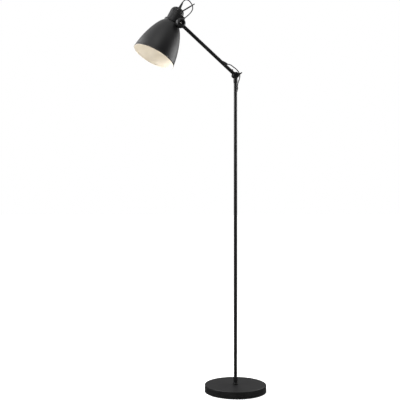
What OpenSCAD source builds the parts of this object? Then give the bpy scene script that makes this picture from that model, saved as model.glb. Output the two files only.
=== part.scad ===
// Adjustable arm floor lamp: a round weighted base, a slim pole, a hinged arm and a bell shade
// that hangs beside the arm on a friction hinge. Millimetres, +Z up, the origin at the centre of
// the base's underside, the arm in the XZ plane and pointing toward -X.

/* [Base] */
// Diameter of the round base
base_d = 215; // [190:1:250]
// Height of the base from the floor to its top face
base_h = 26; // [24:1:32]
// Sheet thickness of the pressed base cover
base_wall = 1.5; // [1:0.1:2]

/* [Pole] */
// Outside diameter of the pole and arm tubes
tube_d = 12; // [11.6:0.1:12.6]
// Wall thickness of the tubes
tube_wall = 1; // [0.8:0.05:1.05]
// Height of the elbow hinge above the floor
elbow_z = 1105; // [900:1:1300]

/* [Arm] */
// Distance between the elbow hinge and the head hinge
arm_len = 263; // [240:1:320]
// Angle of the arm above the horizontal
arm_angle = 38; // [34:1:42]

/* [Head] */
// Angle between the shade's axis and the vertical
shade_tilt = 28.5; // [26:0.5:31]
// Outside diameter of the shade's open rim
shade_d = 151; // [130:1:170]
// Length of the bell from its neck to its rim
shade_len = 131; // [115:1:145]
// Diameter of the ventilated cap over the lampholder
cap_d = 49; // [48:0.5:52]
// Number of ventilation slots in each row of the cap
vent_count = 10; // [6:1:12]

/* [Lead] */
// Diameter of the flexible lead
lead_d = 3.5; // [3:0.1:3.5]

/* [Hidden] */
$fn = 64;
fine = 128;
gap = 0.1;
tube_r = tube_d/2;
tube_bore = tube_r - tube_wall;
lead_bore = lead_d + 0.5;

// Base stack, from the floor up
pad_h = 1.5;
plate_h = 1.2;
plate_d = base_d - 2*base_wall - 0.6;
weight_d = base_d - 2*base_wall - 3;
weight_z = 12;
weight_top = base_h - base_wall;
leg_at = 0.36*base_d;
inlet_z = 7.4;
nipple_d = 9.6;
collar_flange_d = 18.5;
collar_flange_h = 5;
collar_d = 15;
collar_top = base_h + 24;
pole_z = base_h + 12;
pole_split = 560;
pole_top = elbow_z - 28;

// Elbow hinge: the fork's cheeks, the tongue between them and the hardware on its pin
cheek_r = 11;
cheek_in = 4;
cheek_out = 7.5;
tongue_r = 9.2;
tongue_half = 3.2;
pin_d = 6;
arm_from = 14.7;
screw_x = 20;
knob_d = 16.5;
web_from = -64;
web_to = 24;
guide_angle = 37.5;
eye_r = 6.6;
wire_d = 3.6;
guide_stem_d = 4.8;

// Head hinge: the arm's flat end in front, the head's disc behind it
head_x = -arm_len*cos(arm_angle);
head_z = elbow_z + arm_len*sin(arm_angle);
hub_r = 16.3;
hub_rim = -14;
hub_front = -4;
hub_back = 3.5;
neck_len = 17.5;
disc_r = 15.5;
disc_front = 4;
disc_back = 7;
head_pin_d = 5;

// The shade's axis lies beside the head hinge; heights are along that axis, from the hinge
side_x = -17.7;
side_y = 42;
neck_z = -4.6;
neck_r = 30;
rim_z = neck_z - shade_len;
shade_wall = 1;
ring_r = 29.2;
ring_top = 7;
holder_r = 19.5;
holder_hole = 20.3;
holder_low = -16;
holder_top = 43;
cap_top = 59.8;
cap_wall = 1;
dome_z = 37;
cone_top = 86.2;

function unit(v) = v/norm(v);

// Routes of the lead's free loops, from the hinge that each one passes
elbow_loop = [
  [-31, 0, 36], [-25, 0, 36.2], [-18, 0, 34.2], [-12, 0, 30.8], [-6, 0, 27.2],
  [-1, 0, 24.2], [4, 0, 20.6], [8, 0, 17], [11.2, 0, 13.6], [14, 0, 9.6],
  [16.2, 0, 5], [17, 0, 0], [16.6, 0, -6], [15.2, 0, -12], [13.2, 0, -17.5],
  [11, 0, -22.5], [9.4, 0, -28], [8.4, 0, -33.5], [8, 0, -38.5], [7.9, 0, -43]
];
head_loop = [
  [25.3, 42, 84.3], [30.3, 42, 90.2], [38, 42, 94.7], [46, 42, 93.6],
  [52.5, 42, 89.4], [57.8, 42, 83.5], [61, 41.5, 77], [61.8, 40, 69.3],
  [59.5, 36, 61.4], [54, 31, 53.4], [47.8, 25.5, 46.3], [41, 20, 39.7],
  [34, 14.5, 33.6], [27, 9, 28], [20.5, 4.5, 22.8], [14.5, 1, 18]
];
loop_gap = 0.05;
spout_foot = [6.3, 0, -4.9];
spout_out = unit(head_loop[len(head_loop) - 2] - head_loop[len(head_loop) - 1]);
spout_face = head_loop[len(head_loop) - 1] - loop_gap*spout_out;
spout_mouth = spout_face - 0.8*spout_out;

// The lead inside the lamp: in the base and pole, from the hinge along the arm, in the shade's frame
pole_bush_z = -43;
base_lead = [
  [base_d/2 - 4, 0, inlet_z], [70, 0, inlet_z], [32, 0, 6], [17, 0, 4.9], [9.5, 0, 5.2],
  [4.6, 0, 6.8], [1.8, 0, 9.7], [0.5, 0, 13.6], [0, 0, 20], [0, 0, 520], [0, 0, elbow_z - 84],
  [0.4, 0, elbow_z - 72], [1.2, 0, elbow_z - 63], [2.2, 0, elbow_z - 56.5],
  [3.4, 0, elbow_z - 52.5], [5.2, 0, elbow_z - 48.8], [6.9, 0, elbow_z - 45.8], [7.7, 0, elbow_z - 43.6]
];
arm_route = [
  [47.2, 0, 8.8], [51.5, 0, 6.6], [58, 0, 3.4], [66, 0, 0.9], [76, 0, 0], [arm_len - 40, 0, 0],
  [arm_len - 18, 0, 0], [arm_len - 12.5, 0, 1.8], [arm_len - 8.6, 0, 6], [arm_len - 5, 0, 12],
  [arm_len - 2.4, -0.6, 18]
];
holder_route = [[0, 0, 26], [0, 0, cone_top - 1]];
arm_lead_from = [51.8, 57];

// Colours
black = "#26272a";
dark = "#17181a";
cream = "#efe9dc";
steel = "#b9bcc0";
iron = "#4b4d50";
brass = "#b8964f";
nylon = "#d8d6cf";
felt = "#2c2c2c";

// ---- frames -------------------------------------------------------------------------------

// Along the arm: +X from the elbow hinge to the head hinge, +Z out of the arm's upper side
module along_arm() translate([0, 0, elbow_z]) rotate([0, arm_angle, 0]) rotate([0, 0, 180]) children();
// On the head hinge, with +Z along the shade's axis toward the cap
module on_head() translate([head_x, 0, head_z]) rotate([0, shade_tilt, 0]) children();
// On the shade's own axis
module on_shade() on_head() translate([side_x, side_y, 0]) children();
// A cylinder along Y from y0 to y1
module along_y(y0, y1, r) translate([0, y0, 0]) rotate([-90, 0, 0]) cylinder(h = y1 - y0, r = r);

// ---- helpers ------------------------------------------------------------------------------

function way(p, i) = unit(p[min(i + 1, len(p) - 1)] - p[max(i - 1, 0)]);
// A side direction for a ring: square to the route, and never along Y for a route in the XZ plane
function side(d) = unit(cross(d, abs(d.y) < 0.9 ? [0, 1, 0] : [1, 0, 0]));

// A round lead: rings of points about the route, skinned into one closed solid
module lead(route, d = lead_d, sides = 12) {
  n = len(route);
  points = [for (i = [0:n - 1]) let (w = way(route, i), u = side(w), v = cross(w, u))
            for (k = [0:sides - 1]) let (a = 360*k/sides)
            route[i] + d/2*(cos(a)*u + sin(a)*v)];
  walls = [for (i = [0:n - 2]) for (k = [0:sides - 1]) let (m = (k + 1) % sides)
           [i*sides + k, (i + 1)*sides + k, (i + 1)*sides + m, i*sides + m]];
  polyhedron(points, concat(walls, [[for (k = [0:sides - 1]) k],
             [for (k = [sides - 1:-1:0]) (n - 1)*sides + k]]), convexity = 6);
}

// A ring turned about Z, round in section
module wire_ring(r, d) rotate_extrude($fn = 48) translate([r, 0]) circle(d = d, $fn = 20);

// A straight round bar between two points
module bar(a, b, d) {
  v = b - a;
  translate(a) rotate([0, acos(v.z/norm(v)), atan2(v.y, v.x)]) cylinder(h = norm(v), d = d, $fn = 24);
}

// ---- base ---------------------------------------------------------------------------------

module base_pad() color(felt) difference() {
  cylinder(h = pad_h, d = plate_d - 4, $fn = fine);
  translate([0, 0, -1]) cylinder(h = pad_h + 2, d = 0.78*base_d, $fn = fine);
}

module leg_places() for (a = [60, 180, 300]) rotate([0, 0, a]) translate([leg_at, 0, 0]) children();

module base_bottom_plate() color(dark) difference() {
  translate([0, 0, pad_h]) cylinder(h = plate_h, d = plate_d, $fn = fine);
  leg_places() cylinder(h = 5, d = 4.4);
}

module bottom_plate_screws() color(steel) leg_places() {
  translate([0, 0, 0.9]) cylinder(h = 0.6, d = 7.4);
  translate([0, 0, 1.4]) cylinder(h = 12, d = 3.9);
}

// Cast disc on three legs, with a recess under its middle for the clamping nut
module base_weight() color(iron) difference() {
  union() {
    translate([0, 0, weight_z]) cylinder(h = weight_top - weight_z, d = weight_d, $fn = fine);
    leg_places() translate([0, 0, pad_h + plate_h]) cylinder(h = weight_z, d = 14);
  }
  translate([0, 0, -1]) cylinder(h = base_h, d = 10.2);
  translate([0, 0, weight_z - 1]) cylinder(h = 7, d = 26);
  leg_places() cylinder(h = 15, d = 3.9);
}

module base_cover() color(black) {
  lip = 2.6;
  difference() {
    rotate_extrude($fn = fine) polygon(concat(
      [[0, base_h - base_wall], [0, base_h]],
      [for (a = [90:-15:0]) [base_d/2 - lip + lip*cos(a), base_h - lip + lip*sin(a)]],
      [[base_d/2, pad_h], [base_d/2 - base_wall, pad_h]],
      [for (a = [0:30:90]) let (r = lip - base_wall)
        [base_d/2 - lip + r*cos(a), base_h - lip + r*sin(a)]]));
    translate([0, 0, base_h - 5]) cylinder(h = 10, d = 10.2);
    translate([base_d/2 - 8, 0, inlet_z]) rotate([0, 90, 0]) cylinder(h = 16, d = 8);
  }
}

// Rear cable entry, held in the cover's wall by its groove
module mains_inlet_bush() color(dark) difference() {
  translate([base_d/2, 0, inlet_z]) rotate([0, 90, 0]) {
    translate([0, 0, -base_wall - 2]) cylinder(h = 1.7, d = 9);
    translate([0, 0, -base_wall - 1]) cylinder(h = base_wall + 2, d = 7.9);
    translate([0, 0, 0.4]) cylinder(h = 1.8, d1 = 10.6, d2 = 9);
  }
  translate([base_d/2 - 10, 0, inlet_z]) rotate([0, 90, 0]) cylinder(h = 20, d = lead_bore);
}

// Saddle that grips the lead against the underside of the weight
module lead_clamp() color(nylon) {
  difference() {
    translate([84, -9, 4.4]) cube([8, 18, weight_z - 4.4]);
    translate([80, 0, inlet_z]) rotate([0, 90, 0]) cylinder(h = 16, d = lead_d);
  }
}

module threaded_nipple() color(steel) difference() {
  translate([0, 0, 10.6]) cylinder(h = 49, d = nipple_d);
  translate([0, 0, 10]) cylinder(h = 60, d = 7);
}

module base_washer() color(steel) difference() {
  translate([0, 0, weight_z + 4.6]) cylinder(h = 1.4, d = 20);
  translate([0, 0, weight_z]) cylinder(h = 10, d = nipple_d + gap);
}

module base_nut() color(steel) difference() {
  translate([0, 0, weight_z - 0.9]) cylinder(h = 5.5, d = 18, $fn = 6);
  translate([0, 0, weight_z - 2]) cylinder(h = 10, d = nipple_d + gap);
}

// Turned collar: a wide flange on the base, two fine grooves and a chamfered top
module base_collar() color(black) difference() {
  rotate_extrude() polygon([
    [nipple_d/2 + gap, base_h], [collar_flange_d/2, base_h],
    [collar_flange_d/2, base_h + collar_flange_h - 1],
    [collar_flange_d/2 - 1, base_h + collar_flange_h],
    [collar_d/2, base_h + collar_flange_h],
    [collar_d/2, base_h + 10], [collar_d/2 - 0.7, base_h + 10.5],
    [collar_d/2 - 0.7, base_h + 11.5], [collar_d/2, base_h + 12],
    [collar_d/2, base_h + 17], [collar_d/2 - 0.7, base_h + 17.5],
    [collar_d/2 - 0.7, base_h + 18.5], [collar_d/2, base_h + 19],
    [collar_d/2, collar_top - 1], [collar_d/2 - 1, collar_top], [nipple_d/2 + gap, collar_top]]);
  translate([0, 0, pole_z]) cylinder(h = 40, d = tube_d + gap);
}

// ---- pole ---------------------------------------------------------------------------------

module tube_z(z0, z1) difference() {
  translate([0, 0, z0]) cylinder(h = z1 - z0, r = tube_r);
  translate([0, 0, z0 - 1]) cylinder(h = z1 - z0 + 2, r = tube_bore);
}

module pole_lower() color(black) tube_z(pole_z, pole_split);

module pole_coupler() color(steel) difference() {
  translate([0, 0, pole_split - 30]) cylinder(h = 60, r = tube_bore - gap/2);
  translate([0, 0, pole_split - 31]) cylinder(h = 62, d = 7);
}

module pole_upper() color(black) difference() {
  tube_z(pole_split, pole_top);
  lead_hole(elbow_z - 51.5, elbow_z - 46.5, 5.4);
}

// Slot through a tube's wall for the lead: from a to b along the tube, and out along +X of a pole
module lead_hole(a, b, d, from = 0, to = 20) hull() for (z = [a, b])
  translate([from, 0, z]) rotate([0, 90, 0]) cylinder(h = to - from, d = d);

// Small grommet where the lead goes into the pole
module pole_lead_bush() color(dark) difference() {
  union() {
    lead_hole(elbow_z - 51.5, elbow_z - 46.5, 5.2, tube_bore + 0.2, tube_r + 1);
    difference() {
      hull() {
        translate([tube_r, 0, elbow_z + pole_bush_z - 13]) sphere(d = 4, $fn = 24);
        translate([tube_r + 1.6, 0, elbow_z + pole_bush_z - 0.5]) sphere(d = 6, $fn = 24);
      }
      translate([0, 0, elbow_z - 62]) cylinder(h = 30, r = tube_r);
    }
  }
  translate([0, 0, elbow_z + pole_bush_z - loop_gap]) cylinder(h = 20, r = 20);
}

// ---- elbow hinge --------------------------------------------------------------------------

// Fork on top of the pole: a plug, a tapered shoulder, two cheeks and the web behind them
module elbow_fork() color(black) translate([0, 0, elbow_z]) difference() {
  union() {
    translate([0, 0, -40]) cylinder(h = 14, r = tube_bore - gap/2);
    translate([0, 0, -28]) cylinder(h = 5, d1 = tube_d + 0.6, d2 = 2*cheek_out);
    translate([0, 0, -23]) cylinder(h = 15, r = cheek_out);
    along_y(-cheek_out, cheek_out, cheek_r);
  }
  difference() {
    along_y(-cheek_in, cheek_in, cheek_r + 8);
    rotate([-90, 0, 0]) for (a = [web_from:8:web_to - 8]) translate([0, 0, -cheek_in])
      linear_extrude(2*cheek_in) polygon([for (q = [0, 8]) for (r = [tongue_r + 0.7, cheek_r + 9])
        let (b = -(a + (r > cheek_r ? q : 8 - q))) r*[cos(b), sin(b)]]);
    translate([0, 0, -26]) cylinder(h = 26 - tongue_r - 0.7, r = cheek_out);
  }
  along_y(-10, 10, pin_d/2 + gap/2);
  translate([0, 0, -41]) cylinder(h = 12, d = 5);
}

// Wire guide: a straight stem that ends in an eye for the lead
module guide(stem) {
  difference() {
    union() {
      wire_ring(eye_r, wire_d);
      translate([-stem - eye_r, 0, 0]) rotate([0, 90, 0]) cylinder(h = stem + 0.4, d = guide_stem_d, $fn = 24);
    }
    cylinder(h = 20, r = eye_r - wire_d/2, center = true);
  }
}

// Its foot is cut to the round of the fork and rests on it
module elbow_guide() color(black) translate([0, 0, elbow_z]) difference() {
  translate([18.1, 0, 6.6]) rotate([0, -guide_angle, 0]) guide(2.8);
  along_y(-cheek_in, cheek_in, cheek_r);
}

module elbow_bolt() color(dark) translate([0, 0, elbow_z]) {
  along_y(-cheek_out, cheek_out + 8, pin_d/2);
  rotate([90, 0, 0]) translate([0, 0, cheek_out]) cylinder(h = 2.6, d1 = 13, d2 = 10);
}

module elbow_washers() color(nylon) translate([0, 0, elbow_z]) for (s = [-1, 1])
  translate([0, s*(tongue_half + cheek_in)/2, 0]) difference() {
    along_y(-(cheek_in - tongue_half)/2, (cheek_in - tongue_half)/2, tongue_r - 0.5);
    along_y(-1, 1, pin_d/2 + gap);
  }

// Hand knob at the back of the elbow, with eight finger flutes
module elbow_knob() color(dark) translate([0, cheek_out + 0.4, elbow_z]) rotate([-90, 0, 0]) difference() {
  union() {
    cylinder(h = 2, d = 11);
    translate([0, 0, 2]) cylinder(h = 7, d = knob_d);
  }
  translate([0, 0, -1]) cylinder(h = 9, r = pin_d/2 + gap/2);
  for (a = [0:45:315]) rotate([0, 0, a]) translate([knob_d/2 + 1.6, 0, 2]) cylinder(h = 12, d = 5);
}

// ---- arm ----------------------------------------------------------------------------------

module arm_tongue() color(black) along_arm() difference() {
  union() {
    along_y(-tongue_half, tongue_half, tongue_r);
    rotate([0, 90, 0]) translate([0, 0, 11.8]) cylinder(h = arm_from - 11.8, r = tube_r);
    rotate([0, 90, 0]) translate([0, 0, 12]) cylinder(h = 22, r = tube_bore - gap/2);
    translate([5, -tongue_half, -5.8]) cube([8, 2*tongue_half, 11.6]);
  }
  along_y(-5, 5, pin_d/2 + gap/2);
  translate([screw_x, 0, 0]) cylinder(h = 12, d = 4);
}

module arm_set_screw() color(dark) along_arm() translate([screw_x, 0, tube_r + 0.1]) {
  translate([0, 0, -4]) cylinder(h = 4.5, d = 3.9);
  cylinder(h = 2.3, d = 5.6);
}

module arm_tube() color(black) along_arm() difference() {
  rotate([0, 90, 0]) translate([0, 0, arm_from]) cylinder(h = arm_len - arm_from - neck_len, r = tube_r);
  rotate([0, 90, 0]) translate([0, 0, arm_from - 1]) cylinder(h = arm_len, r = tube_bore);
  translate([screw_x, 0, 0]) cylinder(h = 12, d = 4);
  rotate([0, 90, 0]) rotate([0, 0, 180]) lead_hole(arm_lead_from[0], arm_lead_from[1], 5.4);
}

// Raised outlet bush on the arm's upper side; its mouth looks toward the elbow
module arm_lead_bush() color(dark) along_arm() difference() {
  union() {
    difference() {
      hull() {
        translate([66, 0, 5.4]) sphere(d = 4.4, $fn = 24);
        translate([57, 0, 6.6]) sphere(d = 7, $fn = 24);
        translate([49.4, 0, 8.4]) sphere(d = 6.4, $fn = 24);
      }
      rotate([0, 90, 0]) cylinder(h = arm_len, r = tube_r);
    }
    rotate([0, 90, 0]) rotate([0, 0, 180])
      lead_hole(arm_lead_from[0], arm_lead_from[1], 5.2, tube_bore + 0.2, tube_r + 1);
  }
  translate([46.6, 0, 9.3]) rotate([0, 90 - arm_angle, 180]) translate([0, 0, -loop_gap])
    cylinder(h = 20, r = 20);
}

// Dished end of the arm: its rim stands round the hinge's nut, and a bush takes the lead back in
module arm_head_end() color(black) difference() {
  union() {
    translate([head_x, 0, head_z]) rotate([-90, 0, 0]) rotate_extrude($fn = fine) polygon([
      [1, hub_back], [hub_r, hub_back], [hub_r, hub_rim + 6.4], [hub_r - 0.5, hub_rim + 4.4],
      [hub_r - 1.6, hub_rim + 2.6], [hub_r - 3.2, hub_rim + 1.1], [hub_r - 4.9, hub_rim + 0.2],
      [hub_r - 6.2, hub_rim], [hub_r - 7.2, hub_rim + 0.5], [hub_r - 7.8, hub_rim + 1.8],
      [hub_r - 8.1, hub_front], [1, hub_front]]);
    along_arm() {
      translate([arm_len - neck_len, -hub_back, -6.4]) cube([neck_len, hub_back - hub_front, 12.8]);
      rotate([0, 90, 0]) translate([0, 0, arm_len - neck_len - 16]) cylinder(h = 17, r = tube_bore - gap/2);
    }
    translate([head_x, 0, head_z]) {
      bar(spout_foot, spout_mouth, 6.4);
      translate(spout_mouth) sphere(d = 6.6, $fn = 24);
    }
  }
  translate([head_x, 0, head_z]) {
    along_y(-10, 10, head_pin_d/2 + gap/2);
    translate(spout_face) rotate([0, acos(spout_out.z), atan2(spout_out.y, spout_out.x)])
      cylinder(h = 10, r = 8);
  }
}

// ---- head ---------------------------------------------------------------------------------

// Radius of the bell at a height above its rim, by a curve that is steep at the neck
function bell(z) = neck_r + (shade_d/2 - 1 - neck_r)*pow(1 - pow(z/shade_len, 1.5), 0.74);
bell_steps = concat([for (i = [0:16]) i*0.9*shade_len/16],
                    [for (a = [15:15:75]) shade_len*(0.9 + 0.1*sin(a))]);

module shade() color(black) on_shade() {
  translate([0, 0, rim_z]) rotate_extrude($fn = fine) polygon(concat(
    [for (z = bell_steps) [bell(z), z]],
    [[neck_r, shade_len], [holder_hole, shade_len], [holder_hole, shade_len - shade_wall]],
    [[neck_r - shade_wall, shade_len - shade_wall]],
    [for (i = [len(bell_steps) - 1:-1:0]) let (z = bell_steps[i])
      [bell(z) - shade_wall, min(z, shade_len - shade_wall)]]));
  translate([0, 0, rim_z + 0.2]) rotate_extrude($fn = fine) translate([shade_d/2 - 1.3, 0])
    circle(r = 1.3, $fn = 16);
}

module shade_ring() color(black) on_shade() rotate_extrude($fn = fine) polygon([
  [holder_hole, neck_z], [27.6, neck_z], [27.6, neck_z + 2.6], [ring_r - 0.6, neck_z + 2.8],
  [ring_r, neck_z + 3.6], [ring_r, ring_top - 1.4], [ring_r - 1.4, ring_top], [holder_hole, ring_top]]);

// Dished disc that the arm bears on, and the arm from it to the cap's wall
module head_bracket() color(black) difference() {
  union() {
    on_head() {
      rotate([-90, 0, 0]) rotate_extrude() polygon([
        [head_pin_d/2 + gap/2, disc_front], [9, disc_front], [9.6, disc_front + 0.5],
        [11, disc_front + 0.4], [13, disc_front + 0.8], [14.6, disc_front + 1.5],
        [disc_r, disc_front + 2.6], [disc_r, disc_back], [head_pin_d/2 + gap/2, disc_back]]);
      translate([-9, disc_back - 0.5, 8]) cube([20, 16, 7]);
      translate([-9, disc_back - 0.5, 6]) cube([20, 4, 8]);
      translate([-20, 17, 8]) cube([31, 10, 26]);
    }
  }
  on_shade() {
    cylinder(h = cap_top, r = cap_d/2, $fn = fine);
    translate([0, 0, neck_z]) cylinder(h = ring_top + 0.6 - neck_z, r = ring_r + 0.5, $fn = fine);
    translate([0, 0, rim_z]) rotate_extrude($fn = fine) polygon(concat([[0, 0]],
      [for (z = bell_steps) [bell(z) + 0.4, z]], [[neck_r, shade_len], [0, shade_len]]));
  }
  on_head() translate([8, 12, 16]) rotate([0, 30, 0]) cube([20, 20, 40]);
}

module head_bolt() color(steel) on_head() {
  along_y(-7.6, disc_back, head_pin_d/2);
  along_y(disc_back, disc_back + 3, 4.4);
}

// Bright domed nut at the front of the head hinge
module head_bolt_nut() color(steel) on_head() difference() {
  union() {
    rotate([90, 0, 0]) translate([0, 0, 4.8]) cylinder(h = 2.4, d = 8.4, $fn = 6);
    translate([0, -7.2, 0]) scale([1, 0.75, 1]) sphere(d = 6.8, $fn = 32);
  }
  along_y(-7.7, 0, head_pin_d/2);
}

module head_washers() color(dark) on_head() for (y = [-4.8, hub_back]) difference() {
  along_y(y, y + (y < 0 ? 0.8 : 0.5), y < 0 ? 5.6 : 8.8);
  along_y(-6, 6, head_pin_d/2 + gap);
}

module lampholder_body() color(nylon) on_shade() difference() {
  union() {
    translate([0, 0, holder_low]) cylinder(h = holder_top - holder_low, r = holder_r, $fn = fine);
    translate([0, 0, ring_top]) cylinder(h = 2.5, r = holder_hole + 2.4, $fn = fine);
  }
  translate([0, 0, holder_low - 1]) cylinder(h = 41, r = 15.2);
  translate([0, 0, 20]) cylinder(h = 30, d = lead_bore);
}

module lampholder_thread() color(brass) on_shade() difference() {
  translate([0, 0, -9]) cylinder(h = 31, r = 14.3, $fn = fine);
  translate([0, 0, -10]) cylinder(h = 33, r = 13.4, $fn = fine);
}

module lampholder_contacts() color(brass) on_shade() {
  difference() {
    translate([0, 0, 22.4]) cylinder(h = 1.4, r = 4.6);
    translate([-10, -10, 30]) cube(20);
  }
}

module lampholder_nut() color(nylon) on_shade() difference() {
  translate([0, 0, neck_z - shade_wall - 5]) cylinder(h = 4.9, r = 26, $fn = fine);
  translate([0, 0, neck_z - 12]) cylinder(h = 20, r = holder_r + gap, $fn = fine);
  for (a = [0:30:330]) rotate([0, 0, a]) translate([27.4, 0, neck_z - 12]) cylinder(h = 20, d = 5, $fn = 24);
}

// Cap over the lampholder: a straight wall that rounds over into a nearly flat top
function dome(z) = pow(1 - pow((z - dome_z)/(cap_top - dome_z), 2.7), 1/2.7);
dome_steps = [for (a = [0:10:80]) dome_z + (cap_top - dome_z)*sin(a)];

module cap() color(black) on_shade() difference() {
  rotate_extrude($fn = fine) polygon(concat(
    [[cap_d/2, ring_top], [cap_d/2, dome_z - 2]], [for (z = dome_steps) [cap_d/2*dome(z), z]],
    [[3.1, cap_top], [3.1, cap_top - cap_wall]],
    [for (i = [len(dome_steps) - 1:-1:0]) let (z = dome_steps[i])
      [(cap_d/2 - cap_wall)*dome(z), z - cap_wall*(z - dome_z)/(cap_top - dome_z)]],
    [[cap_d/2 - cap_wall, dome_z - 2], [cap_d/2 - cap_wall, ring_top]]));
  for (row = [0, 1]) for (i = [0:vent_count - 1]) rotate([0, 0, (i + row/2)*360/vent_count])
    translate([12, -4.2 + row, 40 + 7.4*row]) cube([20, 8.4 - 2*row, 2.6]);
}

// Tapered cord grip on top of the cap; its threaded foot also clamps the cap
module cap_cone() color(dark) on_shade() difference() {
  union() {
    translate([0, 0, cap_top]) cylinder(h = cone_top - cap_top, d1 = 11, d2 = 5);
    translate([0, 0, cap_top]) cylinder(h = 2.2, d = 12.4);
    translate([0, 0, cap_top - 6]) cylinder(h = 7, d = 6);
  }
  translate([0, 0, cap_top - 8]) cylinder(h = 60, d = lead_d);
}

module head_guide() color(black) on_head() {
  stem = 42;
  difference() {
    translate([17.6, side_y, 99.1]) rotate([0, -62, 0]) guide(stem);
    cap_outside();
  }
}

// The cap's outside, cleared so that the guide's foot is cut to it and rests on it
module cap_outside() translate([side_x, side_y, 0]) rotate_extrude($fn = fine) polygon(concat(
  [[0, 0], [cap_d/2, 0]], [for (z = dome_steps) [cap_d/2*dome(z), z]], [[0, cap_top]]));

// ---- lead ---------------------------------------------------------------------------------

module pole_lead() color(dark) lead(base_lead);
module elbow_lead_loop() color(dark) translate([0, 0, elbow_z]) lead(elbow_loop);
module arm_lead() color(dark) along_arm() lead(arm_route);
module holder_lead() color(dark) on_shade() lead(holder_route);
module head_lead_loop() color(dark) translate([head_x, 0, head_z]) lead(head_loop);

base_pad();
base_bottom_plate();
bottom_plate_screws();
base_weight();
base_cover();
mains_inlet_bush();
lead_clamp();
threaded_nipple();
base_washer();
base_nut();
base_collar();
pole_lower();
pole_coupler();
pole_upper();
pole_lead_bush();
elbow_fork();
elbow_guide();
elbow_bolt();
elbow_washers();
elbow_knob();
pole_lead();
elbow_lead_loop();
arm_tongue();
arm_set_screw();
arm_tube();
arm_lead_bush();
arm_head_end();
arm_lead();
head_bracket();
head_bolt();
head_bolt_nut();
head_washers();
shade();
shade_ring();
lampholder_body();
lampholder_thread();
lampholder_contacts();
lampholder_nut();
cap();
cap_cone();
head_guide();
holder_lead();
head_lead_loop();
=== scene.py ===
import math

import bmesh
import bpy
from mathutils import Matrix, Vector


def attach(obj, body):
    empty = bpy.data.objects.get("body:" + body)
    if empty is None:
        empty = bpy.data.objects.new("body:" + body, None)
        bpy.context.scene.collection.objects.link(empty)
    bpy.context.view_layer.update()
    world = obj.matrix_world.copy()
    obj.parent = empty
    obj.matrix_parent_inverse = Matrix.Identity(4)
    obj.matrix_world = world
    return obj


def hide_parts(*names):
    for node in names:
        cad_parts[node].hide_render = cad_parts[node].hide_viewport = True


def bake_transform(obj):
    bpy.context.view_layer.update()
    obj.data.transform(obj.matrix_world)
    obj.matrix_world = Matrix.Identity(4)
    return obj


# ---- The lamp as it stands -----------------------------------------------------------------
# The floor lamp comes in from its CAD model, in metres, standing on the floor at the origin with
# its arm in the XZ plane. It is looked at from the front left, a little above half its height.

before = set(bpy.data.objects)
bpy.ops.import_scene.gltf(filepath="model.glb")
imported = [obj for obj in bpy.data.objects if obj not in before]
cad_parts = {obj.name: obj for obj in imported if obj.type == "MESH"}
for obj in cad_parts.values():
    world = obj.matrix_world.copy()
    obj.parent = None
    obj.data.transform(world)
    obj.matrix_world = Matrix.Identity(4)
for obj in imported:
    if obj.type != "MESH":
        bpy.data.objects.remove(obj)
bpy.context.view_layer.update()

LOOK_ANGLE = math.radians(23)
camera_data = bpy.data.cameras.new("camera")
camera_data.sensor_width = 36.0
camera_data.lens = 65.66
camera = bpy.data.objects.new("camera", camera_data)
camera.location = (-1.1105, -2.2988, 0.669)
camera.rotation_euler = (math.radians(90), 0, -LOOK_ANGLE)
bpy.context.scene.collection.objects.link(camera)
bpy.context.scene.camera = camera
bpy.context.scene.view_settings.view_transform = "Standard"

# ---- The two free loops of the lead --------------------------------------------------------
# A round two-core lead, 3.5 mm over its soft PVC sheath. It comes out of a bush on the arm, goes
# through the eye at the elbow and into the pole, and does the same from the cap back to the arm.

LEAD_D = 0.0035
ELBOW = Vector((0, 0, 1.105))
HEAD = Vector((-0.207247, 0, 1.266919))
ELBOW_ROUTE_MM = [
    (-31, 0, 36), (-25, 0, 36.2), (-18, 0, 34.2), (-12, 0, 30.8), (-6, 0, 27.2),
    (-1, 0, 24.2), (4, 0, 20.6), (8, 0, 17), (11.2, 0, 13.6), (14, 0, 9.6),
    (16.2, 0, 5), (17, 0, 0), (16.6, 0, -6), (15.2, 0, -12), (13.2, 0, -17.5),
    (11, 0, -22.5), (9.4, 0, -28), (8.4, 0, -33.5), (8, 0, -38.5), (7.9, 0, -43),
]
HEAD_ROUTE_MM = [
    (25.3, 42, 84.3), (30.3, 42, 90.2), (38, 42, 94.7), (46, 42, 93.6),
    (52.5, 42, 89.4), (57.8, 42, 83.5), (61, 41.5, 77), (61.8, 40, 69.3),
    (59.5, 36, 61.4), (54, 31, 53.4), (47.8, 25.5, 46.3), (41, 20, 39.7),
    (34, 14.5, 33.6), (27, 9, 28), (20.5, 4.5, 22.8), (14.5, 1, 18),
]


def linear(hex_colour):
    """An sRGB hex colour as linear red, green, blue and alpha."""
    parts = [int(hex_colour[i:i + 2], 16) / 255 for i in (1, 3, 5)]
    return [c / 12.92 if c <= 0.04045 else ((c + 0.055) / 1.055) ** 2.4 for c in parts] + [1]


def add(material, kind, inputs=None, **settings):
    """Adds one node, with its settings, and each input set to a number, a colour or a link."""
    node = material.node_tree.nodes.new(kind)
    for name, value in settings.items():
        setattr(node, name, value)
    for name, value in (inputs or {}).items():
        if isinstance(value, bpy.types.NodeSocket):
            material.node_tree.links.new(value, node.inputs[name])
        else:
            node.inputs[name].default_value = value
    return node


def new_material(name):
    """An empty material and the object's own coordinates in metres."""
    material = bpy.data.materials.new(name)
    material.use_nodes = True
    material.node_tree.nodes.clear()
    place = add(material, "ShaderNodeTexCoord").outputs["Object"]
    return material, place


def shaded(material, inputs):
    """Ends a material in its one surface shader."""
    surface = add(material, "ShaderNodeBsdfPrincipled", inputs)
    add(material, "ShaderNodeOutputMaterial", {"Surface": surface.outputs[0]})
    return material


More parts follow.
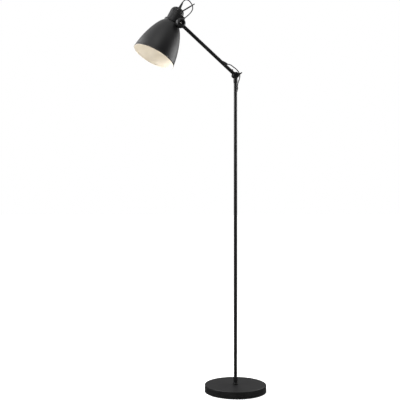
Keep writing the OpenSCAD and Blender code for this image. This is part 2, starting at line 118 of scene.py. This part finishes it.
def two_tones(material, factor, dark, light, low=0.35, high=0.65):
    """A slow change between two tones of one colour."""
    ramp = add(material, "ShaderNodeValToRGB", {"Fac": factor})
    ramp.color_ramp.elements[0].position = low
    ramp.color_ramp.elements[0].color = linear(dark)
    ramp.color_ramp.elements[1].position = high
    ramp.color_ramp.elements[1].color = linear(light)
    return ramp.outputs["Color"]


def per_mm(size_mm):
    """The scale of a pattern that repeats every so many millimetres."""
    return 1000 / size_mm


def along(route_mm, origin, step=0.0022):
    """A smooth line through the points of a route, a step apart."""
    points = [origin + Vector(p) / 1000 for p in route_mm]
    ends = [2 * points[0] - points[1]] + points + [2 * points[-1] - points[-2]]
    line = []
    for a, b, c, d in zip(ends, ends[1:], ends[2:], ends[3:]):
        count = max(2, round((c - b).length / step))
        for i in range(count):
            t = i / count
            line.append(0.5 * (2 * b + (c - a) * t + (2 * a - 5 * b + 4 * c - d) * t * t
                               + (3 * b - a - 3 * c + d) * t ** 3))
    return line + [points[-1]]


def sheath_tube(name, line, radius, sides=20):
    """A round tube swept along a line, with its rings square to it and its ends closed."""
    mesh = bpy.data.meshes.new(name)
    build = bmesh.new()
    rings = []
    for i, centre in enumerate(line):
        ahead = (line[min(i + 1, len(line) - 1)] - line[max(i - 1, 0)]).normalized()
        across = ahead.cross(Vector((0, 1, 0))).normalized()
        up = across.cross(ahead)
        rings.append([
            build.verts.new(centre + radius * (math.cos(a) * across + math.sin(a) * up))
            for a in (2 * math.pi * k / sides for k in range(sides))
        ])
    for low, high in zip(rings, rings[1:]):
        for k in range(sides):
            m = (k + 1) % sides
            build.faces.new((low[k], low[m], high[m], high[k]))
    build.faces.new(rings[0][::-1])
    build.faces.new(rings[-1])
    bmesh.ops.recalc_face_normals(build, faces=build.faces)
    for face in build.faces:
        face.smooth = len(face.verts) == 4
    build.to_mesh(mesh)
    build.free()
    piece = bpy.data.objects.new(name, mesh)
    bpy.context.scene.collection.objects.link(piece)
    return piece


# PVC sheath, extruded: a soft black with a low, even gloss and faint draw lines.
pvc_sheath, place = new_material("extruded_pvc_sheath")
scuff = add(pvc_sheath, "ShaderNodeTexNoise", {"Vector": place, "Scale": per_mm(9), "Detail": 4.0})
draw = add(pvc_sheath, "ShaderNodeTexNoise", {"Vector": place, "Scale": per_mm(1.2), "Detail": 2.0})
shaded(pvc_sheath, {
    "Base Color": two_tones(pvc_sheath, scuff.outputs["Fac"], "#0b0b0c", "#141415"),
    "Roughness": add(pvc_sheath, "ShaderNodeMapRange", {
        "Value": scuff.outputs["Fac"], "To Min": 0.4, "To Max": 0.56}).outputs[0],
    "Specular IOR Level": 0.25,
    "Normal": add(pvc_sheath, "ShaderNodeBump", {
        "Height": draw.outputs["Fac"], "Strength": 0.15, "Distance": 0.00008}).outputs[0],
})

LOOPS = (
    # name, route, hinge, the two bodies it joins, and where its bend starts and ends, in mm
    ("elbow_lead_loop", ELBOW_ROUTE_MM, ELBOW, ("arm", "stand"), (-27, 0, 36), (15, 0, 9)),
    ("head_lead_loop", HEAD_ROUTE_MM, HEAD, ("head", "arm"), (61, 41, 75), (18, 3, 20.5)),
)
for name, route, hinge, bodies, start, end in LOOPS:
    line = along(route, hinge)
    loop = sheath_tube(name + "_sheath", line, LEAD_D / 2)
    loop.data.materials.append(pvc_sheath)
    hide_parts(name)
    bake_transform(loop)

# ---- Base: felt, bottom plate and cast weight ----------------------------------------------
# The lamp stands on a ring of wool felt glued to a pressed bottom plate. Three zinc-plated screws
# hold the plate to the legs of a cast iron disc that gives the lamp its weight.


def coat(material, *nodes):
    """Gives these CAD pieces a material."""
    for name in nodes:
        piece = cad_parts[name]
        if not piece.material_slots:
            piece.data.materials.append(material)
        for slot in piece.material_slots:
            slot.material = material


# Wool felt, pressed: a dull dark nap with tangled fibres. The fibres are 0.02 mm thick, drawn
# as 0.8 mm tufts so that they show.
wool_felt, place = new_material("pressed_wool_felt")
nap = add(wool_felt, "ShaderNodeTexNoise", {
    "Vector": place, "Scale": per_mm(0.8), "Detail": 6.0, "Roughness": 0.7})
shaded(wool_felt, {
    "Base Color": two_tones(wool_felt, nap.outputs["Fac"], "#161616", "#2e2d2c"),
    "Roughness": 0.95,
    "Sheen Weight": 0.4,
    "Normal": add(wool_felt, "ShaderNodeBump", {
        "Height": nap.outputs["Fac"], "Strength": 0.7, "Distance": 0.0004}).outputs[0],
})
coat(wool_felt, "base_pad")

# Sheet steel, phosphated: a flat charcoal with a fine crystal grain, drawn at 1.5 mm.
phosphated_sheet, place = new_material("phosphated_steel_sheet")
crystal = add(phosphated_sheet, "ShaderNodeTexVoronoi", {"Vector": place, "Scale": per_mm(1.5)})
shaded(phosphated_sheet, {
    "Base Color": two_tones(phosphated_sheet, crystal.outputs["Distance"], "#25262a", "#35363a"),
    "Metallic": 0.6,
    "Roughness": 0.62,
    "Normal": add(phosphated_sheet, "ShaderNodeBump", {
        "Height": crystal.outputs["Distance"], "Strength": 0.2, "Distance": 0.0001}).outputs[0],
})
coat(phosphated_sheet, "base_bottom_plate")

# Steel, zinc plated: a cool grey metal with faint patches where the plating crystals differ.
zinc_plate, place = new_material("zinc_plated_steel")
patch = add(zinc_plate, "ShaderNodeTexVoronoi", {"Vector": place, "Scale": per_mm(3)})
scratch = add(zinc_plate, "ShaderNodeTexNoise", {"Vector": place, "Scale": per_mm(0.7), "Detail": 3.0})
shaded(zinc_plate, {
    "Base Color": two_tones(zinc_plate, patch.outputs["Distance"], "#a3a7ad", "#c4c7ca", 0.1, 0.8),
    "Metallic": 1.0,
    "Roughness": add(zinc_plate, "ShaderNodeMapRange", {
        "Value": patch.outputs["Distance"], "To Min": 0.3, "To Max": 0.45}).outputs[0],
    "Normal": add(zinc_plate, "ShaderNodeBump", {
        "Height": scratch.outputs["Fac"], "Strength": 0.12, "Distance": 0.00005}).outputs[0],
})
coat(zinc_plate, "bottom_plate_screws", "threaded_nipple", "base_washer", "base_nut", "pole_coupler")

# Grey iron, sand cast: a dull dark metal whose skin keeps the grain of the sand, about 0.5 mm,
# drawn at 1.6 mm.
cast_iron, place = new_material("sand_cast_grey_iron")
sand = add(cast_iron, "ShaderNodeTexNoise", {
    "Vector": place, "Scale": per_mm(1.6), "Detail": 8.0, "Roughness": 0.65})
shaded(cast_iron, {
    "Base Color": two_tones(cast_iron, sand.outputs["Fac"], "#303133", "#515356"),
    "Metallic": 0.75,
    "Roughness": 0.72,
    "Normal": add(cast_iron, "ShaderNodeBump", {
        "Height": sand.outputs["Fac"], "Strength": 0.8, "Distance": 0.0005}).outputs[0],
})
coat(cast_iron, "base_weight")

# ---- Base cover, collar and the lamp's other coated steel ----------------------------------
# The cover is pressed from 1.5 mm sheet with a rolled top edge. It, the turned collar, the tubes,
# the hinge castings, the wire guides and the cap are all powder coated in one satin black.

# Steel, powder coated: a fine orange peel about 1 mm across that softens each highlight.
powder_coat, place = new_material("black_powder_coated_steel")
peel = add(powder_coat, "ShaderNodeTexNoise", {
    "Vector": place, "Scale": per_mm(1.1), "Detail": 3.0, "Roughness": 0.55})
cloud = add(powder_coat, "ShaderNodeTexNoise", {"Vector": place, "Scale": per_mm(45), "Detail": 3.0})
shaded(powder_coat, {
    "Base Color": two_tones(powder_coat, cloud.outputs["Fac"], "#101011", "#151516"),
    "Roughness": add(powder_coat, "ShaderNodeMapRange", {
        "Value": cloud.outputs["Fac"], "From Min": 0.3, "From Max": 0.7,
        "To Min": 0.42, "To Max": 0.5}).outputs[0],
    "Specular IOR Level": 0.3,
    "Normal": add(powder_coat, "ShaderNodeBump", {
        "Height": peel.outputs["Fac"], "Strength": 0.12, "Distance": 0.00008}).outputs[0],
})
coat(powder_coat, "base_cover", "base_collar", "pole_lower", "pole_upper", "elbow_fork",
     "elbow_guide", "arm_tongue", "arm_tube", "arm_head_end", "head_bracket", "shade_ring",
     "cap", "head_guide")

# ---- Bushes, grommets, knob and cord grip --------------------------------------------------
# The small black parts are moulded in glass-filled nylon: the inlet, the grommets on the tubes, the
# elbow's hand knob, the head hinge's washers and the cone on the cap. The elbow's washers and the
# clamp on the lead are natural nylon.

# Nylon, moulded in a spark-eroded tool: a dull black with an even grain of 0.3 mm, drawn at 0.8.
black_nylon, place = new_material("moulded_black_nylon")
grain = add(black_nylon, "ShaderNodeTexVoronoi", {"Vector": place, "Scale": per_mm(0.8)})
shaded(black_nylon, {
    "Base Color": two_tones(black_nylon, grain.outputs["Distance"], "#101011", "#19191b", 0.1, 0.9),
    "Roughness": 0.5,
    "Specular IOR Level": 0.35,
    "Normal": add(black_nylon, "ShaderNodeBump", {
        "Height": grain.outputs["Distance"], "Strength": 0.25, "Distance": 0.0001}).outputs[0],
})
coat(black_nylon, "mains_inlet_bush", "pole_lead_bush", "arm_lead_bush", "elbow_knob",
     "head_washers", "cap_cone")

# Nylon, natural: a milky off-white that light enters a little.
natural_nylon, place = new_material("moulded_natural_nylon")
milk = add(natural_nylon, "ShaderNodeTexNoise", {"Vector": place, "Scale": per_mm(6), "Detail": 2.0})
shaded(natural_nylon, {
    "Base Color": two_tones(natural_nylon, milk.outputs["Fac"], "#cfccc0", "#dedbd1"),
    "Roughness": 0.45,
    "Subsurface Weight": 0.15,
    "Subsurface Scale": 0.002,
})
coat(natural_nylon, "lead_clamp", "elbow_washers")

# ---- Hinge hardware ------------------------------------------------------------------------
# The elbow's pin and the grub screw are steel blackened in hot oxide. The head hinge's bolt ends in a
# domed nut with a bright nickel plate, the one shiny spot on the lamp.

# Steel, black oxide: nearly black, oiled, with the turned metal's edges showing through.
black_oxide, place = new_material("black_oxide_steel")
oil = add(black_oxide, "ShaderNodeTexNoise", {"Vector": place, "Scale": per_mm(4), "Detail": 4.0})
shaded(black_oxide, {
    "Base Color": two_tones(black_oxide, oil.outputs["Fac"], "#18191b", "#2c2e31"),
    "Metallic": 0.85,
    "Roughness": add(black_oxide, "ShaderNodeMapRange", {
        "Value": oil.outputs["Fac"], "To Min": 0.32, "To Max": 0.5}).outputs[0],
})
coat(black_oxide, "elbow_bolt", "arm_set_screw")

# Steel, nickel plated and polished: a bright warm mirror with faint polishing marks.
nickel, place = new_material("polished_nickel_plate")
polish = add(nickel, "ShaderNodeTexNoise", {"Vector": place, "Scale": per_mm(0.5), "Detail": 2.0})
shaded(nickel, {
    "Base Color": two_tones(nickel, polish.outputs["Fac"], "#cfccc6", "#dedbd5"),
    "Metallic": 1.0,
    "Roughness": add(nickel, "ShaderNodeMapRange", {
        "Value": polish.outputs["Fac"], "To Min": 0.14, "To Max": 0.26}).outputs[0],
})
coat(nickel, "head_bolt", "head_bolt_nut")

# ---- Shade ---------------------------------------------------------------------------------
# The bell is spun from 1 mm steel, its mouth rolled back over itself into a bead. Outside it has
# the lamp's black powder coat, and inside a cream enamel. Its flat neck is clamped by a ring.

SHADE_TILT = math.radians(28.5)
SHADE_LEN = 0.131
SHADE_RIM_R = 0.0745
SHADE_NECK_R = 0.030
SHADE_NECK_HOLE_R = 0.0203
SHADE_NECK_Z = -0.0046
SHADE_WALL = 0.001
BEAD_R = 0.0013
BEAD_FROM = 150
BEAD_STEP = 21
BEAD_STEPS = 13
BEAD_STEPS_ENAMELLED = 6
SHADE_SIDES = 160
SHADE_BESIDE = 0.042
SHADE_AHEAD = 0.0177
shade_axis = HEAD + Vector((
    -SHADE_AHEAD * math.cos(SHADE_TILT), SHADE_BESIDE, SHADE_AHEAD * math.sin(SHADE_TILT)))


def bell_radius(height):
    """Outside radius of the bell at a height above its rim."""
    rise = (height / SHADE_LEN) ** 1.5
    return SHADE_NECK_R + (SHADE_RIM_R - SHADE_NECK_R) * max(0, 1 - rise) ** 0.74


def turned(name, profile, sides, finishes, finish_of, close=False):
    """A body of revolution about Z, from its profile's radii and heights."""
    mesh = bpy.data.meshes.new(name)
    build = bmesh.new()
    rings = [[build.verts.new((r * math.cos(a), r * math.sin(a), z))
              for a in (2 * math.pi * k / sides for k in range(sides))] for r, z in profile]
    pairs = list(zip(rings, rings[1:] + ([rings[0]] if close else [])))
    for i, (low, high) in enumerate(pairs[:len(rings) if close else len(rings) - 1]):
        for k in range(sides):
            m = (k + 1) % sides
            face = build.faces.new((low[k], low[m], high[m], high[k]))
            face.smooth = True
            face.material_index = finish_of(i)
    bmesh.ops.recalc_face_normals(build, faces=build.faces)
    build.to_mesh(mesh)
    build.free()
    piece = bpy.data.objects.new(name, mesh)
    bpy.context.scene.collection.objects.link(piece)
    for finish in finishes:
        mesh.materials.append(finish)
    return piece


# The profile runs up the outside, across the neck, down the inside and round the bead. The enamel
# goes on over the bead's inner half.
heights = [SHADE_LEN * (0.012 + 0.988 * math.sin(math.pi / 2 * i / 40)) for i in range(41)]
outside = [(bell_radius(h), h) for h in heights]
neck = [(SHADE_NECK_HOLE_R, SHADE_LEN), (SHADE_NECK_HOLE_R, SHADE_LEN - SHADE_WALL)]
inside = [(bell_radius(h) - SHADE_WALL, min(h, SHADE_LEN - SHADE_WALL)) for h in reversed(heights)]
bead_centre = (SHADE_RIM_R - 0.0003, BEAD_R * 0.15)
bead = [(bead_centre[0] + BEAD_R * math.cos(a), bead_centre[1] + BEAD_R * math.sin(a))
        for a in (math.radians(BEAD_FROM + BEAD_STEP * i) for i in range(BEAD_STEPS))]
shade_profile = [(r, h + SHADE_NECK_Z - SHADE_LEN) for r, h in outside + neck + inside + bead]
INSIDE_FROM = len(outside) + 1
INSIDE_TO = INSIDE_FROM + len(inside) + 1 + BEAD_STEPS_ENAMELLED

# Enamel, sprayed and baked: a warm cream with a soft gloss, slightly uneven in thickness.
cream_enamel, place = new_material("baked_cream_enamel")
flow = add(cream_enamel, "ShaderNodeTexNoise", {"Vector": place, "Scale": per_mm(30), "Detail": 3.0})
mist = add(cream_enamel, "ShaderNodeTexNoise", {"Vector": place, "Scale": per_mm(8), "Detail": 2.0})
shaded(cream_enamel, {
    "Base Color": two_tones(cream_enamel, flow.outputs["Fac"], "#d7cfc0", "#ddd6c9"),
    "Roughness": add(cream_enamel, "ShaderNodeMapRange", {
        "Value": mist.outputs["Fac"], "To Min": 0.4, "To Max": 0.46}).outputs[0],
    "Normal": add(cream_enamel, "ShaderNodeBump", {
        "Height": mist.outputs["Fac"], "Strength": 0.06, "Distance": 0.00005}).outputs[0],
})

shade = turned("shade_bell", shade_profile, SHADE_SIDES, (powder_coat, cream_enamel),
               lambda i: 1 if INSIDE_FROM <= i < INSIDE_TO else 0, close=True)
shade.data.transform(Matrix.Translation(shade_axis) @ Matrix.Rotation(SHADE_TILT, 4, "Y"))
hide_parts("shade")
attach(shade, "head")

# ---- Lampholder ----------------------------------------------------------------------------
# A screw lampholder in white thermoset fills the cap and comes down through the shade's neck, where
# a ring nut holds it. Its threaded sleeve and spring contact are brass.

# Thermoset, compression moulded: a hard white with a faint gloss, and specks of filler.
white_thermoset, place = new_material("moulded_white_thermoset")
speck = add(white_thermoset, "ShaderNodeTexNoise", {
    "Vector": place, "Scale": per_mm(1.4), "Detail": 4.0})
shaded(white_thermoset, {
    "Base Color": two_tones(white_thermoset, speck.outputs["Fac"], "#dedcd5", "#e9e7e1"),
    "Roughness": 0.3,
    "Normal": add(white_thermoset, "ShaderNodeBump", {
        "Height": speck.outputs["Fac"], "Strength": 0.08, "Distance": 0.0001}).outputs[0],
})
coat(white_thermoset, "lampholder_body", "lampholder_nut")

# Brass, drawn and rolled: a yellow metal with a dull bloom.
rolled_brass, place = new_material("rolled_brass")
bloom = add(rolled_brass, "ShaderNodeTexNoise", {"Vector": place, "Scale": per_mm(5), "Detail": 4.0})
shaded(rolled_brass, {
    "Base Color": two_tones(rolled_brass, bloom.outputs["Fac"], "#a98a48", "#cdb06a"),
    "Metallic": 1.0,
    "Roughness": add(rolled_brass, "ShaderNodeMapRange", {
        "Value": bloom.outputs["Fac"], "To Min": 0.25, "To Max": 0.42}).outputs[0],
})
coat(rolled_brass, "lampholder_thread", "lampholder_contacts")

# ---- Lead inside the lamp ------------------------------------------------------------------
# The same sheathed lead runs up the pole, along the arm and down into the lampholder.

coat(pvc_sheath, "pole_lead", "arm_lead", "holder_lead")

# ---- Studio --------------------------------------------------------------------------------
# A plain white floor in a white room, with a large soft box at each side of the lamp's upper half
# and a smaller one above it. The room's light comes mostly from overhead, and the side boxes put
# light along the edges of the black tubes.

FLOOR_R = 30
floor_mesh = bpy.data.meshes.new("studio_floor")
build = bmesh.new()
bmesh.ops.create_circle(build, cap_ends=True, segments=96, radius=FLOOR_R)
build.to_mesh(floor_mesh)
build.free()
studio_floor = bpy.data.objects.new("studio_floor", floor_mesh)
studio_floor.visible_glossy = False
bpy.context.scene.collection.objects.link(studio_floor)

# Paper roll, matt: plain white, and lit from below as on a light table.
white_paper, place = new_material("matt_white_paper")
fibre = add(white_paper, "ShaderNodeTexNoise", {"Vector": place, "Scale": per_mm(300), "Detail": 2.0})
shaded(white_paper, {
    "Base Color": two_tones(white_paper, fibre.outputs["Fac"], "#f2f2f1", "#f6f6f5"),
    "Roughness": 0.9,
    "Specular IOR Level": 0.1,
    "Emission Color": linear("#ffffff"),
    "Emission Strength": 0.6,
})
floor_mesh.materials.append(white_paper)

# The room: its light depends only on the direction, and its walls look plain white.
room = bpy.data.worlds.new("studio_room")
room.use_nodes = True
room.node_tree.nodes.clear()
bpy.context.scene.world = room
toward = add(room, "ShaderNodeTexCoord").outputs["Generated"]
front = add(room, "ShaderNodeVectorMath", {
    0: toward, 1: (-math.sin(LOOK_ANGLE), -math.cos(LOOK_ANGLE), 0.0)}, operation="DOT_PRODUCT")
walls = add(room, "ShaderNodeMapRange", {
    "Value": front.outputs["Value"], "From Min": -0.8, "From Max": -0.3,
    "To Min": 0.4, "To Max": 0.3}, interpolation_type="SMOOTHSTEP")
upward = add(room, "ShaderNodeSeparateXYZ", {0: toward})
height = add(room, "ShaderNodeMapRange", {
    "Value": upward.outputs["Z"], "From Min": 0.35, "From Max": 0.95,
    "To Min": 0.36, "To Max": 3.4}, interpolation_type="SMOOTHSTEP")
light = add(room, "ShaderNodeMath", {
    0: walls.outputs[0], 1: height.outputs[0]}, operation="MULTIPLY")
lit = add(room, "ShaderNodeBackground", {"Color": linear("#ffffff"), "Strength": light.outputs[0]})
seen = add(room, "ShaderNodeBackground", {"Color": linear("#ffffff"), "Strength": 1.0})
sight = add(room, "ShaderNodeLightPath")
mixed = add(room, "ShaderNodeMixShader", {
    0: sight.outputs["Is Camera Ray"], 1: lit.outputs[0], 2: seen.outputs[0]})
add(room, "ShaderNodeOutputWorld", {"Surface": mixed.outputs[0]})

SOFT_BOXES = (
    # name, place, the point it faces, width, height and power in watts
    ("left_soft_box", (-1.0, 0.4, 1.45), (-0.25, 0, 1.25), 1.0, 0.7, 32),
    ("right_soft_box", (1.1, 0.05, 1.2), (-0.1, 0, 1.2), 1.2, 0.7, 16),
    ("top_soft_box", (-0.6, -1.0, 2.5), (-0.1, 0, 1.1), 0.8, 0.8, 7),
)
for name, place, aim, width, height, power in SOFT_BOXES:
    box = bpy.data.lights.new(name, "AREA")
    box.shape = "RECTANGLE"
    box.size, box.size_y = width, height
    box.energy = power
    lamp = bpy.data.objects.new(name, box)
    lamp.location = place
    lamp.rotation_euler = (Vector(aim) - Vector(place)).to_track_quat("-Z", "Y").to_euler()
    lamp.visible_camera = False
    bpy.context.scene.collection.objects.link(lamp)
